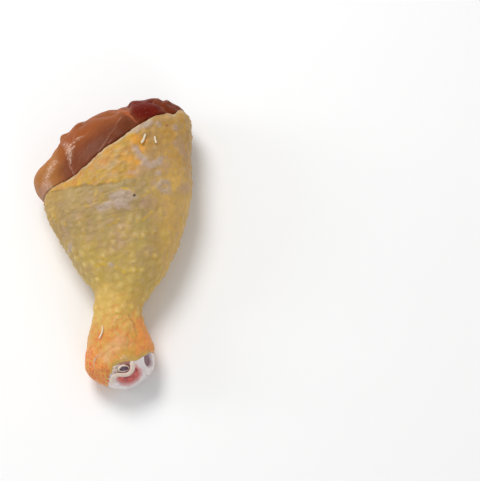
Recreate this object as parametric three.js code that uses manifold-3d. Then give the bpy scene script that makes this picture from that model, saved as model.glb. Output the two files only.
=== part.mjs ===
// A raw, skin-on chicken drumstick lying on a flat surface, in millimetres.
// +Z is up, the ankle points to -Y, the thick knee end to +Y, and the leg rests on z = 0.
// One outer form, lofted along the leg, is shared by every piece: the skin is a sleeve just inside it, and
// the meat and the bone fill the sleeve and swell out to the outer form where the skin has been cut away.
import * as THREE from 'three';
import { mergeVertices } from 'three/addons/utils/BufferGeometryUtils.js';
import Module from 'manifold-3d';

const wasm = await Module();
wasm.setup();

// Driving dimensions.
const SKIN_THICKNESS = 1.7;
const GAP = 0.5;                // left between touching pieces
const KNEE_SLANT = 0.45;        // how far a section at the knee end leans along the leg, per mm across it
const SLANT_START = -9.5;       // station where the sections begin to lean
const SLANT_END = 42.8;         // station where they lean fully
const ANKLE_DOME = -54.1;       // station where the ankle end starts to round off
const ANKLE_TIP = -63.6;
const KNEE_DOME = 38;           // station where the knee end starts to round off
const KNEE_TIP = 62.2;
const WIDEST_LEVEL = 0.46;      // height of a section's widest level, as a share of the section's height
const FLOOR_ROUNDING = 1.1;     // how softly the underside flattens where it lies on the surface

// Faceting.
const COLUMNS = 40;             // round the leg
const SKIN_ROWS = 32;           // along the skin sleeve
const MEAT_ROWS = 20;           // of the meat under the sleeve
const SWELL_ROWS = 12;          // of the bare meat
const HEAD_ROWS = 4;            // of the bone's head under the sleeve
const KNUCKLE_ROWS = 8;         // of the bare bone
const TIP_MARGIN = 0.05;        // how far the last row stays from a tip, as a share of the rounding

// Sections along the leg: station, centre across, half width, underside (below 0 it is pressed flat), top,
// and squareness, which is 2 for an ellipse.
const SECTIONS = [
  { at: -63.6, centre: 4.9, half: 12.5, low: 0.4, top: 21.8, square: 2.0 },
  { at: -54.1, centre: 4.6, half: 14.8, low: -0.6, top: 22.8, square: 2.1 },
  { at: -43.7, centre: 4.4, half: 13.7, low: -0.6, top: 23.9, square: 2.2 },
  { at: -36.1, centre: 3.4, half: 11.2, low: 2.1, top: 23.9, square: 2.1 },
  { at: -29.4, centre: 3.2, half: 10.1, low: 4.2, top: 24.2, square: 2.0 },
  { at: -22.8, centre: 4.9, half: 11.8, low: 4.6, top: 26.2, square: 2.0 },
  { at: -15.2, centre: 4.6, half: 17.3, low: 3.0, top: 29.4, square: 2.1 },
  { at: -7.6, centre: 4.1, half: 21.4, low: 0.8, top: 32.9, square: 2.2 },
  { at: 0.0, centre: 3.5, half: 25.0, low: -1.7, top: 35.3, square: 2.2 },
  { at: 7.6, centre: 3.2, half: 28.4, low: -3.0, top: 37.2, square: 2.2 },
  { at: 15.2, centre: 3.0, half: 30.6, low: -3.6, top: 38.4, square: 2.2 },
  { at: 26.6, centre: 1.8, half: 31.5, low: -4.0, top: 38.9, square: 2.2 },
  { at: 38.0, centre: -0.2, half: 33.4, low: -4.0, top: 38.5, square: 2.2 },
  { at: 62.2, centre: -1.5, half: 34.2, low: -4.0, top: 36.6, square: 2.2 },
];

// The station where the skin ends, at equal steps round the leg: from the right side over the top,
// the left side and the underside. The knee cut runs on a slant and leaves the meat bare at the upper left.
const KNEE_RIM = [46.0, 43.0, 42.0, 35.3, 27.5, 28.1, 28.9, 33.2, 38.9, 42.3, 43.2, 44.5];
const ANKLE_RIM = [-48.4, -49.4, -53.6, -55.7, -61.0, -62.2, -62.4, -62.2, -61.0, -58.4, -54.1, -49.9];

// Where the meat comes out of the skin.
const SWELL_START = 1;          // past the skin's edge the meat keeps its depth for this long
const SWELL_LENGTH = 7.6;       // and reaches the outer form over this length
const BONE_SWELL = 0.5;         // depth of the bare ankle bone under the outer form
const BONE_SWELL_START = 0.2;
const BONE_SWELL_LENGTH = 1.3;

// Relief of the bare meat: furrows in plan, and places where it stands out or, below 0, sinks in.
const FURROWS = [
  { from: [4.3, 62.7], to: [8.1, 46.5], depth: 2.8, spread: 2.8 },      // between pale and dark muscle
  { from: [-18.5, 49.4], to: [-20.4, 24.7], depth: 0.9, spread: 2.5 },  // beside the left lobe
  { from: [17.4, 62.5], to: [28.6, 56.2], depth: 1.1, spread: 1.6 },    // across the dark muscle
];
const SWELLINGS = [
  { at: [-32.8, 28.5, 16.1], height: 1.6, spread: 4.8 },
  { at: [-27.5, 36.1, 17.1], height: -2.1, spread: 5.7 },
  { at: [-22.8, 44.6, 19.0], height: 1.7, spread: 3.3 },
  { at: [-2.8, 55.1, 28.5], height: -1.9, spread: 5.7 },
  { at: [9.2, 60.5, 27.0], height: -1.3, spread: 3.8 },
];

// Bone: a shaft that runs up through the meat from the head at the ankle.
const MEAT_START = -42.8;       // station where the meat ends at the ankle
const HEAD_END = -43.7;         // station where the bone's head ends
const SHAFT_RADIUS = 4.0;
const SHAFT_FLARE = 6.1;        // radius where it meets the head
const SHAFT_SIDES = 14;
const SHAFT_FROM = new THREE.Vector3(3.0, -47.5, 12.0);
const SHAFT_TO = new THREE.Vector3(1.4, 39.9, 18.5);
const FLARE_LENGTH = 13.3;

// The hollow in the bone's cut face, with the spongy core in it.
const HOLLOW_AT = [8.8, -60.1]; // in plan
const HOLLOW_RADIUS = 5.9;      // of the ball that cuts it
const HOLLOW_LIFT = 1.5;        // of the ball's centre over the face
const CORE_DEPTH = 1.0;         // the core's face lies this far in

// The tendon that crosses the bone's face, as points in plan, and its radius.
const TENDON_PATH = [[10.4, -55.5], [10.5, -57.2], [9.2, -59.2], [6.2, -59.9], [4.0, -60.0], [2.8, -60.9]];
const TENDON_RADIUS = 0.8;
const TENDON_STEPS = 22;
const TENDON_SIDES = 8;

// Stubs of feather quills in the skin: foot in plan, heading in degrees from +X, length.
const QUILLS = [
  { foot: [14.3, 39.7], heading: 251, length: 4.0 },
  { foot: [18.8, 39.7], heading: 263, length: 3.2 },
  { foot: [-2.1, -40.9], heading: 257, length: 4.6 },
];
const QUILL_RADIUS = 0.5;
const QUILL_RISE = 16;          // degrees over the skin
const QUILL_SIDES = 6;
const QUILL_BURIED = 1.2;       // length of the quill inside the skin

const smooth = (low, high, value) => THREE.MathUtils.smoothstep(value, low, high);

// A smooth value between the table's rows, with slopes taken from the neighbouring rows.
function between(stations, values, at) {
  const last = stations.length - 1;
  if (at <= stations[0]) return values[0];
  if (at >= stations[last]) return values[last];
  const i = stations.findIndex((station) => station > at) - 1;
  const slope = (k) => {
    const from = Math.max(k - 1, 0);
    const to = Math.min(k + 1, last);
    return (values[to] - values[from]) / (stations[to] - stations[from]);
  };
  const span = stations[i + 1] - stations[i];
  const t = (at - stations[i]) / span;
  const t2 = t * t;
  const t3 = t2 * t;
  return (2 * t3 - 3 * t2 + 1) * values[i] + (t3 - 2 * t2 + t) * span * slope(i)
    + (3 * t2 - 2 * t3) * values[i + 1] + (t3 - t2) * span * slope(i + 1);
}

// A smooth value round the leg, from a table of equal steps that closes on itself.
function around(values, angle) {
  const n = values.length;
  const turn = THREE.MathUtils.euclideanModulo(angle / (2 * Math.PI), 1) * n;
  const i = Math.floor(turn) % n;
  const t = turn - Math.floor(turn);
  const [a, b, c, d] = [-1, 0, 1, 2].map((k) => values[(i + k + n) % n]);
  return b + 0.5 * t * (c - a + t * (2 * a - 5 * b + 4 * c - d + t * (3 * (b - c) + d - a)));
}

const STATIONS = SECTIONS.map((section) => section.at);
const column = (key) => SECTIONS.map((section) => section[key]);
const TABLE = Object.fromEntries(['centre', 'half', 'low', 'top', 'square'].map((key) => [key, column(key)]));
const sectionAt = (station, key) => between(STATIONS, TABLE[key], station);

// Both ends round off: 1 along the leg, falling to 0 at a tip.
function doming(station) {
  const ankle = Math.max(0, (ANKLE_DOME - station) / (ANKLE_DOME - ANKLE_TIP));
  const knee = Math.max(0, (station - KNEE_DOME) / (KNEE_TIP - KNEE_DOME));
  return Math.sqrt(Math.max(0, 1 - Math.max(ankle, knee) ** 2));
}

// What would reach below the surface that the leg lies on is pressed flat, with a soft edge.
function pressed(z) {
  if (z > FLOOR_ROUNDING) return z;
  return z < -FLOOR_ROUNDING ? 0 : (z + FLOOR_ROUNDING) ** 2 / (4 * FLOOR_ROUNDING);
}

// A point of the outer form. The angle runs from the right side over the top.
function outerPoint(station, angle) {
  const low = sectionAt(station, 'low');
  const top = sectionAt(station, 'top');
  const level = low + WIDEST_LEVEL * (top - low);
  const power = 2 / sectionAt(station, 'square');
  const across = Math.sign(Math.cos(angle)) * Math.abs(Math.cos(angle)) ** power;
  const up = Math.sign(Math.sin(angle)) * Math.abs(Math.sin(angle)) ** power;
  const dome = doming(station);
  const x = sectionAt(station, 'centre') + sectionAt(station, 'half') * dome * across;
  const z = level + (up > 0 ? top - level : level - low) * dome * up;
  const slant = KNEE_SLANT * smooth(SLANT_START, SLANT_END, station);
  return new THREE.Vector3(x, station + slant * x, pressed(z));
}

// The outward direction there, from small steps along the leg and round it.
function outward(station, angle) {
  const inside = THREE.MathUtils.clamp(station, ANKLE_TIP + 0.1, KNEE_TIP - 0.1);
  const step = 0.05;
  const turn = 0.02;
  const along = outerPoint(inside + step, angle).sub(outerPoint(inside - step, angle));
  const round = outerPoint(inside, angle + turn).sub(outerPoint(inside, angle - turn));
  return along.cross(round).normalize();
}

// A point at a depth inside the outer form.
function pointAt(station, angle, depth) {
  return outerPoint(station, angle).addScaledVector(outward(station, angle), -depth);
}

// The station and angle of a plan position on the upper side.
function upperPlace([x, y]) {
  let station = y;
  for (let i = 0; i < 8; i++) station = y - KNEE_SLANT * smooth(SLANT_START, SLANT_END, station) * x;
  const reach = (x - sectionAt(station, 'centre')) / (sectionAt(station, 'half') * doming(station));
  const cosine = Math.sign(reach) * Math.min(Math.abs(reach), 1) ** (sectionAt(station, 'square') / 2);
  return { station, angle: Math.acos(cosine) };
}

function upperPoint(plan, depth) {
  const { station, angle } = upperPlace(plan);
  return pointAt(station, angle, depth);
}

// How deep the bare meat lies at a point: down in a furrow, and out over a swelling.
function reliefDepth(point) {
  let depth = 0;
  for (const furrow of FURROWS) {
    const from = new THREE.Vector2(...furrow.from);
    const to = new THREE.Vector2(...furrow.to);
    const place = new THREE.Vector2(point.x, point.y);
    const run = to.clone().sub(from);
    const t = THREE.MathUtils.clamp(place.clone().sub(from).dot(run) / run.lengthSq(), 0, 1);
    const off = place.distanceTo(from.addScaledVector(run, t)) / furrow.spread;
    depth = Math.max(depth, furrow.depth * Math.exp(-off * off));
  }
  depth *= smooth(17, 27, point.z);
  for (const swelling of SWELLINGS) {
    const off = point.distanceTo(new THREE.Vector3(...swelling.at)) / swelling.spread;
    depth -= swelling.height * Math.exp(-off * off);
  }
  return depth;
}

const SLEEVE_DEPTH = SKIN_THICKNESS + GAP;
const columnAngles = Array.from({ length: COLUMNS }, (_, i) => (2 * Math.PI * i) / COLUMNS);

// Depth of the meat: under the sleeve, and out at the outer form past the skin's knee edge.
function meatDepth(station, angle) {
  const past = station - around(KNEE_RIM, angle);
  const bare = smooth(SWELL_START, SWELL_START + SWELL_LENGTH, past);
  return THREE.MathUtils.lerp(SLEEVE_DEPTH, reliefDepth(outerPoint(station, angle)), bare);
}

// Depth of the bone's head, in the same way past the ankle edge.
function headDepth(station, angle) {
  const past = around(ANKLE_RIM, angle) - station;
  const bare = smooth(BONE_SWELL_START, BONE_SWELL_START + BONE_SWELL_LENGTH, past);
  return THREE.MathUtils.lerp(SLEEVE_DEPTH, BONE_SWELL, bare);
}

// A closed surface through rings of points: with a tip at each end, or, with no tips, closed on itself.
function surfaceThrough(rings, tips) {
  const n = rings[0].length;
  const points = rings.flat();
  const faces = [];
  const ringCount = tips ? rings.length - 1 : rings.length;
  for (let i = 0; i < ringCount; i++) {
    const here = i * n;
    const next = ((i + 1) % rings.length) * n;
    for (let j = 0; j < n; j++) {
      const k = (j + 1) % n;
      faces.push(here + j, next + j, next + k, here + j, next + k, here + k);
    }
  }
  if (tips) {
    const first = points.push(tips[0]) - 1;
    const last = points.push(tips[1]) - 1;
    const top = (rings.length - 1) * n;
    for (let j = 0; j < n; j++) {
      const k = (j + 1) % n;
      faces.push(first, j, k, last, top + k, top + j);
    }
  }
  return new THREE.BufferGeometry().setFromPoints(points).setIndex(faces);
}

// Stations from one place to another, without the first: at even steps, or at the steps of an arc.
const steps = (count) => Array.from({ length: count }, (_, i) => (i + 1) / count);
const evenly = (from, to, count) => steps(count).map((share) => THREE.MathUtils.lerp(from, to, share));
const towardsTip = (from, tip, count) => steps(count).map((share) => {
  const quarter = (Math.PI / 2) * share * (1 - TIP_MARGIN);
  return THREE.MathUtils.lerp(from, tip, Math.sin(quarter));
});

// A solid body inside the outer form. Its rows of points are stations that may differ round the leg.
function body(stationsAt, depthAt) {
  const lines = columnAngles.map((angle) => {
    const stations = stationsAt(angle);
    return stations.map((station) => pointAt(station, angle, depthAt(station, angle)));
  });
  const rings = lines[0].map((_, row) => lines.map((line) => line[row]));
  const centre = (ring) => ring.reduce((sum, p) => sum.add(p), new THREE.Vector3()).divideScalar(ring.length);
  return surfaceThrough(rings, [centre(rings[0]), centre(rings.at(-1))]);
}

// One row of the meat lies where it starts to swell out of the sleeve, and one of the bone's head likewise.
function meatStations(angle) {
  const edge = around(KNEE_RIM, angle) + SWELL_START;
  return [MEAT_START, ...evenly(MEAT_START, edge, MEAT_ROWS), ...towardsTip(edge, KNEE_TIP, SWELL_ROWS)];
}

function headStations(angle) {
  const edge = around(ANKLE_RIM, angle) - BONE_SWELL_START;
  const bare = towardsTip(edge, ANKLE_TIP, KNUCKLE_ROWS).toReversed();
  return [...bare, edge, ...evenly(edge, HEAD_END, HEAD_ROWS)];
}

// The skin sleeve: its outer face up the leg, then its inner face back down, closed on itself.
function sleeve() {
  const ringAt = (share, depth) => columnAngles.map((angle) => {
    const station = THREE.MathUtils.lerp(around(ANKLE_RIM, angle), around(KNEE_RIM, angle), share);
    return pointAt(station, angle, depth);
  });
  const shares = [0, ...steps(SKIN_ROWS)].map((share) => (1 - Math.cos(Math.PI * share)) / 4 + share / 2);
  const outer = shares.map((share) => ringAt(share, 0));
  const inner = shares.toReversed().map((share) => ringAt(share, SKIN_THICKNESS));
  return surfaceThrough([...outer, ...inner], null);
}

// A manifold-3d solid of a closed geometry, and the geometry of a solid.
function solidOf(geometry) {
  const plain = geometry.clone();
  plain.deleteAttribute('normal');
  plain.deleteAttribute('uv');
  const merged = mergeVertices(plain, 1e-4);
  return new wasm.Manifold(new wasm.Mesh({
    numProp: 3,
    vertProperties: new Float32Array(merged.attributes.position.array),
    triVerts: new Uint32Array(merged.index.array),
  }));
}

function geometryOf(solid) {
  const mesh = solid.getMesh();
  const geometry = new THREE.BufferGeometry();
  geometry.setAttribute('position', new THREE.BufferAttribute(new Float32Array(mesh.vertProperties), 3));
  geometry.setIndex(new THREE.BufferAttribute(new Uint32Array(mesh.triVerts), 1));
  return geometry;
}

// A round bar between two points, wider at its foot, which is sunk in the bone's head.
function shaft(extra) {
  const length = SHAFT_FROM.distanceTo(SHAFT_TO);
  const profile = [
    new THREE.Vector2(0, 0),
    new THREE.Vector2(SHAFT_FLARE + extra, 0),
    new THREE.Vector2(SHAFT_FLARE + extra, FLARE_LENGTH / 3),
    new THREE.Vector2(SHAFT_RADIUS + extra, FLARE_LENGTH),
    new THREE.Vector2(SHAFT_RADIUS + extra, length - SHAFT_RADIUS + extra),
    new THREE.Vector2((SHAFT_RADIUS + extra) / 2, length + extra),
    new THREE.Vector2(0, length + extra),
  ];
  const geometry = new THREE.LatheGeometry(profile, SHAFT_SIDES);
  const direction = SHAFT_TO.clone().sub(SHAFT_FROM).normalize();
  const turn = new THREE.Quaternion().setFromUnitVectors(new THREE.Vector3(0, 1, 0), direction);
  return geometry.applyQuaternion(turn).translate(...SHAFT_FROM.toArray());
}

// The ball that cuts the hollow in the bone's face.
function hollowBall(radius) {
  const centre = upperPoint(HOLLOW_AT, -HOLLOW_LIFT);
  return new THREE.SphereGeometry(radius, 20, 14).translate(...centre.toArray());
}

function quill({ foot, heading, length }) {
  const { station, angle } = upperPlace(foot);
  const up = outward(station, angle);
  const plan = THREE.MathUtils.degToRad(heading);
  const level = new THREE.Vector3(Math.cos(plan), Math.sin(plan), 0).projectOnPlane(up).normalize();
  const rise = THREE.MathUtils.degToRad(QUILL_RISE);
  const direction = level.multiplyScalar(Math.cos(rise)).addScaledVector(up, Math.sin(rise));
  const start = pointAt(station, angle, 0).addScaledVector(direction, -QUILL_BURIED);
  const turn = new THREE.Quaternion().setFromUnitVectors(new THREE.Vector3(0, 1, 0), direction);
  const whole = length + QUILL_BURIED;
  return new THREE.CylinderGeometry(QUILL_RADIUS * 0.8, QUILL_RADIUS, whole, QUILL_SIDES)
    .translate(0, whole / 2, 0).applyQuaternion(turn).translate(...start.toArray());
}

// Pieces.
function skinGeometry() {
  return geometryOf(QUILLS.reduce((skin, stub) => skin.add(solidOf(quill(stub))), solidOf(sleeve())));
}

function meatGeometry() {
  const muscle = solidOf(body(meatStations, meatDepth));
  return geometryOf(muscle.subtract(solidOf(shaft(GAP))));
}

function boneGeometry() {
  const head = solidOf(body(headStations, headDepth));
  return geometryOf(head.add(solidOf(shaft(0))).subtract(solidOf(hollowBall(HOLLOW_RADIUS))));
}

function coreGeometry() {
  const inside = solidOf(body(headStations, () => CORE_DEPTH + BONE_SWELL));
  return geometryOf(inside.intersect(solidOf(hollowBall(HOLLOW_RADIUS - GAP))));
}

function tendonGeometry() {
  const depth = BONE_SWELL - GAP - TENDON_RADIUS;
  const path = new THREE.CatmullRomCurve3(TENDON_PATH.map((plan) => upperPoint(plan, depth)));
  const section = new THREE.Shape().absarc(0, 0, TENDON_RADIUS, 0, 2 * Math.PI);
  return new THREE.ExtrudeGeometry(section, {
    steps: TENDON_STEPS, curveSegments: TENDON_SIDES, bevelEnabled: false, extrudePath: path,
  });
}

const finish = (color, roughness) => new THREE.MeshStandardMaterial({ color, roughness, metalness: 0 });

function piece(name, geometry, material) {
  const mesh = new THREE.Mesh(geometry, material);
  mesh.name = name;
  return mesh;
}

const leg = new THREE.Group();
leg.add(
  piece('skin', skinGeometry(), finish(0xc39c5c, 0.45)),
  piece('meat', meatGeometry(), finish(0xa05f3e, 0.35)),
  piece('bone', boneGeometry(), finish(0xcfc6c4, 0.3)),
  piece('marrow', coreGeometry(), finish(0xa05048, 0.5)),
  piece('tendon', tendonGeometry(), finish(0xe0d6cc, 0.35)),
);

// The origin is the middle of the leg's footprint, on the surface that it lies on.
const reach = new THREE.Box3().setFromObject(leg, true);
const middle = reach.getCenter(new THREE.Vector3());
leg.position.set(-middle.x, -middle.y, -reach.min.z);

const drumstick = new THREE.Group();
drumstick.add(leg);
export default drumstick;
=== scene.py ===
"""A raw, skin-on chicken drumstick lying on a pale floor in soft daylight.

Lengths in the tables are millimetres in the leg's own plan: +Z is up, the ankle points to -Y and the
knee to +Y. Every piece is made from one outer form, lofted along the leg, and is brought to metres in
the frame at the end.
"""
import itertools
import math
from types import SimpleNamespace

import bpy
import numpy as np
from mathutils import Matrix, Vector
from mathutils.bvhtree import BVHTree
from mathutils.kdtree import KDTree


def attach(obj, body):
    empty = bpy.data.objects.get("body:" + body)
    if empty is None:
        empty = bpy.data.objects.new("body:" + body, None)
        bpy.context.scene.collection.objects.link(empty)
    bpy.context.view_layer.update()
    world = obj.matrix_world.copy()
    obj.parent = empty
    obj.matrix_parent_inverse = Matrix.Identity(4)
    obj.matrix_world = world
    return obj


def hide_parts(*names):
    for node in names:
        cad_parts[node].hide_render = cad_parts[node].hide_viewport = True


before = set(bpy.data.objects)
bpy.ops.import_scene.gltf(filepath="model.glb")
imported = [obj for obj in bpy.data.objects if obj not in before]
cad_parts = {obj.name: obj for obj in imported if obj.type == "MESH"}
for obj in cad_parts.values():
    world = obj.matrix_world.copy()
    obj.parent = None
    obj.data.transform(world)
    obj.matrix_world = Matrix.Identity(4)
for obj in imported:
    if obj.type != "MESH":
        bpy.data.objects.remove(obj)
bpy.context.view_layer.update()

# The outer form, as the solids have it.
MIDDLE = np.array([-0.636, 1.468, 0.0])     # the frame's origin
KNEE_SLANT = 0.45
SLANT_START = -9.5
SLANT_END = 42.8
ANKLE_DOME = -54.1
ANKLE_TIP = -63.6
KNEE_DOME = 38.0
KNEE_TIP = 62.2
WIDEST_LEVEL = 0.46
FLOOR_ROUNDING = 1.1
SKIN_THICKNESS = 1.7
SLEEVE_DEPTH = 2.2          # of what lies under the skin

# Station, centre across, half width, underside, top and squareness of each section.
SECTIONS = np.array([
    (-63.6, 4.9, 12.5, 0.4, 21.8, 2.0),
    (-54.1, 4.6, 14.8, -0.6, 22.8, 2.1),
    (-43.7, 4.4, 13.7, -0.6, 23.9, 2.2),
    (-36.1, 3.4, 11.2, 2.1, 23.9, 2.1),
    (-29.4, 3.2, 10.1, 4.2, 24.2, 2.0),
    (-22.8, 4.9, 11.8, 4.6, 26.2, 2.0),
    (-15.2, 4.6, 17.3, 3.0, 29.4, 2.1),
    (-7.6, 4.1, 21.4, 0.8, 32.9, 2.2),
    (0.0, 3.5, 25.0, -1.7, 35.3, 2.2),
    (7.6, 3.2, 28.4, -3.0, 37.2, 2.2),
    (15.2, 3.0, 30.6, -3.6, 38.4, 2.2),
    (26.6, 1.8, 31.5, -4.0, 38.9, 2.2),
    (38.0, -0.2, 33.4, -4.0, 38.5, 2.2),
    (62.2, -1.5, 34.2, -4.0, 36.6, 2.2),
])
CENTRE, HALF, LOW, TOP, SQUARE = range(1, 6)

# The station where the skin ends, at equal steps round the leg from the right side over the top.
KNEE_RIM = np.array([46.0, 43.0, 42.0, 35.3, 27.5, 28.1, 28.9, 33.2, 38.9, 42.3, 43.2, 44.5])
ANKLE_RIM = np.array([-48.4, -49.4, -53.6, -55.7, -61.0, -62.2, -62.4, -62.2, -61.0, -58.4, -54.1, -49.9])

# Small turns of the rims: angle, half width in degrees, and how far each moves the edge.
KNEE_TURNS = [(21, 9, 1.6), (37, 5, -1.1)]
ANKLE_TURNS = [(104, 6, -1.3), (128, 9, -0.9), (150, 15, -0.3)]

# Relief of the bare meat. Furrows in plan: from, to, depth and half width.
MEAT_FURROWS = [
    ((4.3, 62.7), (8.1, 46.5), 1.6, 3.0),
    ((-18.5, 49.4), (-20.4, 24.7), 0.9, 2.5),
    ((17.0, 61.0), (26.0, 52.6), 1.2, 1.7),
]
# Furrows on the knee's end: line across and up, depth and half width.
FACE_FURROWS = [
    ([(5.5, 31.0), (4.2, 24.0), (5.6, 15.0), (8.0, 6.0)], 1.3, 2.2),
    ([(-12.0, 31.0), (-14.5, 22.0), (-12.0, 12.0), (-13.0, 5.0)], 0.8, 2.6),
    ([(17.5, 29.0), (19.5, 20.0), (18.0, 11.0)], 0.9, 1.8),
    ([(-24.0, 15.0), (-18.0, 12.0), (-12.6, 11.4)], 0.6, 2.0),
    ([(-23.0, 29.0), (-25.5, 21.0), (-23.0, 13.0), (-24.0, 6.0)], 0.7, 2.2),
]
# Swellings, or dents where the height is below 0: place, height and half width.
MEAT_SWELLINGS = [
    ((-32.8, 28.5, 16.1), 1.6, 4.8),
    ((-27.5, 36.1, 17.1), -2.1, 5.7),
    ((-22.8, 44.6, 19.0), 1.7, 3.3),
    ((-2.8, 55.1, 28.5), -1.9, 5.7),
    ((28.0, 58.0, 23.5), -1.6, 4.5),
    ((-21.4, 45.0, 24.4), 1.5, 2.1),
    ((-25.2, 34.6, 30.0), -0.8, 3.4),
]
# Muscle bundles on the knee's end, and the dents between them: place across, half width and height.
BUNDLES = [
    (-31.2, 2.8, -5.5), (-26.8, 2.8, -1.5), (-24.4, 1.2, -0.8), (-16.8, 2.8, 1.2), (-7.5, 2.0, 0.5),
    (0.3, 3.0, -1.9), (6.6, 1.8, 0.6), (13.0, 3.0, -0.9), (18.4, 1.2, 0.6), (21.2, 1.6, -0.9),
    (25.4, 1.6, -0.9),
]
FIBRES = 62                 # heading of the meat's fibres in plan, in degrees from +X
MEAT_EDGE_DEPTH = 1.75      # of the meat at the skin's edge, just under the skin's inner face
KNUCKLE_EDGE_DEPTH = 1.78   # of the bone there

# Mesh fineness.
COLUMNS = 380
SKIN_ROWS = 230
LIP_ROWS = 6
INNER_ROWS = 18
MEAT_COLUMNS = 440
MEAT_HIDDEN_ROWS = 10
MEAT_ROWS = 170
KNUCKLE_COLUMNS = 240
KNUCKLE_HIDDEN_ROWS = 6
KNUCKLE_ROWS = 84


def rgb(red, green, blue):
    """A colour given as 0 to 255 on the screen, in linear light."""
    value = np.array([red, green, blue]) / 255
    return np.where(value <= 0.04045, value / 12.92, ((value + 0.055) / 1.055) ** 2.4)


# Colours.
KHAKI = rgb(156, 130, 87)
OLIVE = rgb(177, 152, 92)
LOWER_SKIN = rgb(196, 169, 88)
NECK_SKIN = rgb(209, 173, 88)
NECK_SHADE = rgb(180, 146, 70)
ANKLE_SKIN = rgb(209, 153, 70)
BAND_SKIN = rgb(185, 145, 60)
BAND_ORANGE = rgb(196, 134, 62)
BAND_PALE = rgb(192, 160, 116)
SIDE_SKIN_AND_LIGHT = rgb(218, 172, 88)
SHADOWED_UPPER_SKIN = rgb(158, 112, 52)
ANKLE_RIGHT = rgb(236, 149, 77)
PINK_GREY = rgb(180, 146, 120)
DOT_PALE = rgb(220, 192, 116)
PAD_PINK = rgb(180, 146, 112)
GAP_YELLOW = rgb(206, 168, 66)
PALE_PATCH = rgb(176, 152, 135)
PALE_THREAD = rgb(190, 170, 156)
YELLOW_FLECK = rgb(208, 166, 46)
SPOT_ORANGE = rgb(226, 156, 52)
LIP_PALE = rgb(204, 182, 148)
SCALE_RED = rgb(226, 102, 54)
SCALE_GAP = rgb(222, 160, 80)
ANKLE_ORANGE = rgb(214, 134, 62)
ANKLE_YELLOW = rgb(208, 168, 84)
BUMP_WHITE = rgb(236, 218, 196)
FLAP_YELLOW = rgb(198, 168, 90)
BULGE_PINK = rgb(220, 166, 116)
SPECK_BROWN = rgb(58, 34, 26)
SPECK_RED = rgb(150, 76, 40)

MEAT_BRIGHT = rgb(123, 68, 44)
MEAT_SHADE = rgb(106, 54, 32)
MEAT_LOBE = rgb(168, 110, 58)
MEAT_RIDGE = rgb(150, 82, 43)
MEAT_DARK = rgb(98, 20, 12)
MEAT_PURPLE = rgb(102, 24, 15)
MEAT_RUST = rgb(112, 48, 24)
FASCIA = rgb(196, 158, 138)
PAINTED_GLINT = rgb(232, 206, 186)
FAT_ORANGE = rgb(170, 92, 58)

CARTILAGE = rgb(222, 215, 213)
CARTILAGE_LILAC = rgb(210, 197, 201)
BONE_PINK = rgb(212, 150, 146)
MARROW_RED = rgb(230, 104, 94)
MARROW_DEEP = rgb(168, 30, 26)
MARROW_PALE = rgb(216, 148, 142)
TENDON_PALE = rgb(226, 212, 198)
TENDON_SHADE = rgb(204, 184, 170)
RECESS_PURPLE = rgb(138, 94, 104)
VESSEL_DARK = rgb(80, 52, 82)
HOLE_GLINT_LILAC = rgb(168, 156, 190)
TISSUE_BROWN = rgb(146, 74, 56)
TISSUE_GREY = rgb(150, 128, 112)
QUILL_WHITE = rgb(224, 212, 186)


def smooth(low, high, value):
    share = np.clip((value - low) / (high - low), 0, 1)
    return share * share * (3 - 2 * share)


def mix(first, second, share):
    share = np.clip(np.asarray(share), 0, 1)[..., None]
    return first * (1 - share) + second * share


def layered(tone, *layers):
    """The tone with others laid over it in turn, each by its share."""
    for over, share in layers:
        tone = mix(tone, over, share)
    return tone


def between(column, at):
    """A smooth value between the sections, with slopes taken from the neighbouring rows."""
    stations, values = SECTIONS[:, 0], SECTIONS[:, column]
    last = len(stations) - 1
    before = np.maximum(np.arange(last + 1) - 1, 0)
    after = np.minimum(np.arange(last + 1) + 1, last)
    slopes = (values[after] - values[before]) / (stations[after] - stations[before])
    at = np.clip(at, stations[0], stations[-1])
    i = np.clip(np.searchsorted(stations, at, side="right") - 1, 0, last - 1)
    span = stations[i + 1] - stations[i]
    t = (at - stations[i]) / span
    t2, t3 = t * t, t * t * t
    return ((2 * t3 - 3 * t2 + 1) * values[i] + (t3 - 2 * t2 + t) * span * slopes[i]
            + (3 * t2 - 2 * t3) * values[i + 1] + (t3 - t2) * span * slopes[i + 1])


def around(values, angle):
    """A smooth value round the leg, from a table of equal steps that closes on itself."""
    n = len(values)
    turn = np.mod(angle / (2 * np.pi), 1) * n
    i = np.floor(turn).astype(int) % n
    t = turn - np.floor(turn)
    a, b, c, d = (values[(i + k) % n] for k in (-1, 0, 1, 2))
    return b + 0.5 * t * (c - a + t * (2 * a - 5 * b + 4 * c - d + t * (3 * (b - c) + d - a)))


def doming(station):
    """Both ends round off: 1 along the leg, falling to 0 at a tip."""
    ankle = np.clip((ANKLE_DOME - station) / (ANKLE_DOME - ANKLE_TIP), 0, 1)
    knee = np.clip((station - KNEE_DOME) / (KNEE_TIP - KNEE_DOME), 0, 1)
    return np.sqrt(1 - ankle ** 2) * np.sqrt(1 - knee ** 2)


def pressed(z):
    """What would reach below the floor is pressed flat, with a soft edge."""
    soft = (z + FLOOR_ROUNDING) ** 2 / (4 * FLOOR_ROUNDING)
    return np.where(z > FLOOR_ROUNDING, z, np.where(z < -FLOOR_ROUNDING, 0, soft))


def outer_point(station, angle):
    station, angle = np.broadcast_arrays(station, angle)
    low, top = between(LOW, station), between(TOP, station)
    level = low + WIDEST_LEVEL * (top - low)
    power = 2 / between(SQUARE, station)
    across = np.sign(np.cos(angle)) * np.abs(np.cos(angle)) ** power
    up = np.sign(np.sin(angle)) * np.abs(np.sin(angle)) ** power
    dome = doming(station)
    x = between(CENTRE, station) + between(HALF, station) * dome * across
    z = level + np.where(up > 0, top - level, level - low) * dome * up
    slant = KNEE_SLANT * smooth(SLANT_START, SLANT_END, station)
    return np.stack([x, station + slant * x, pressed(z)], -1)


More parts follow.
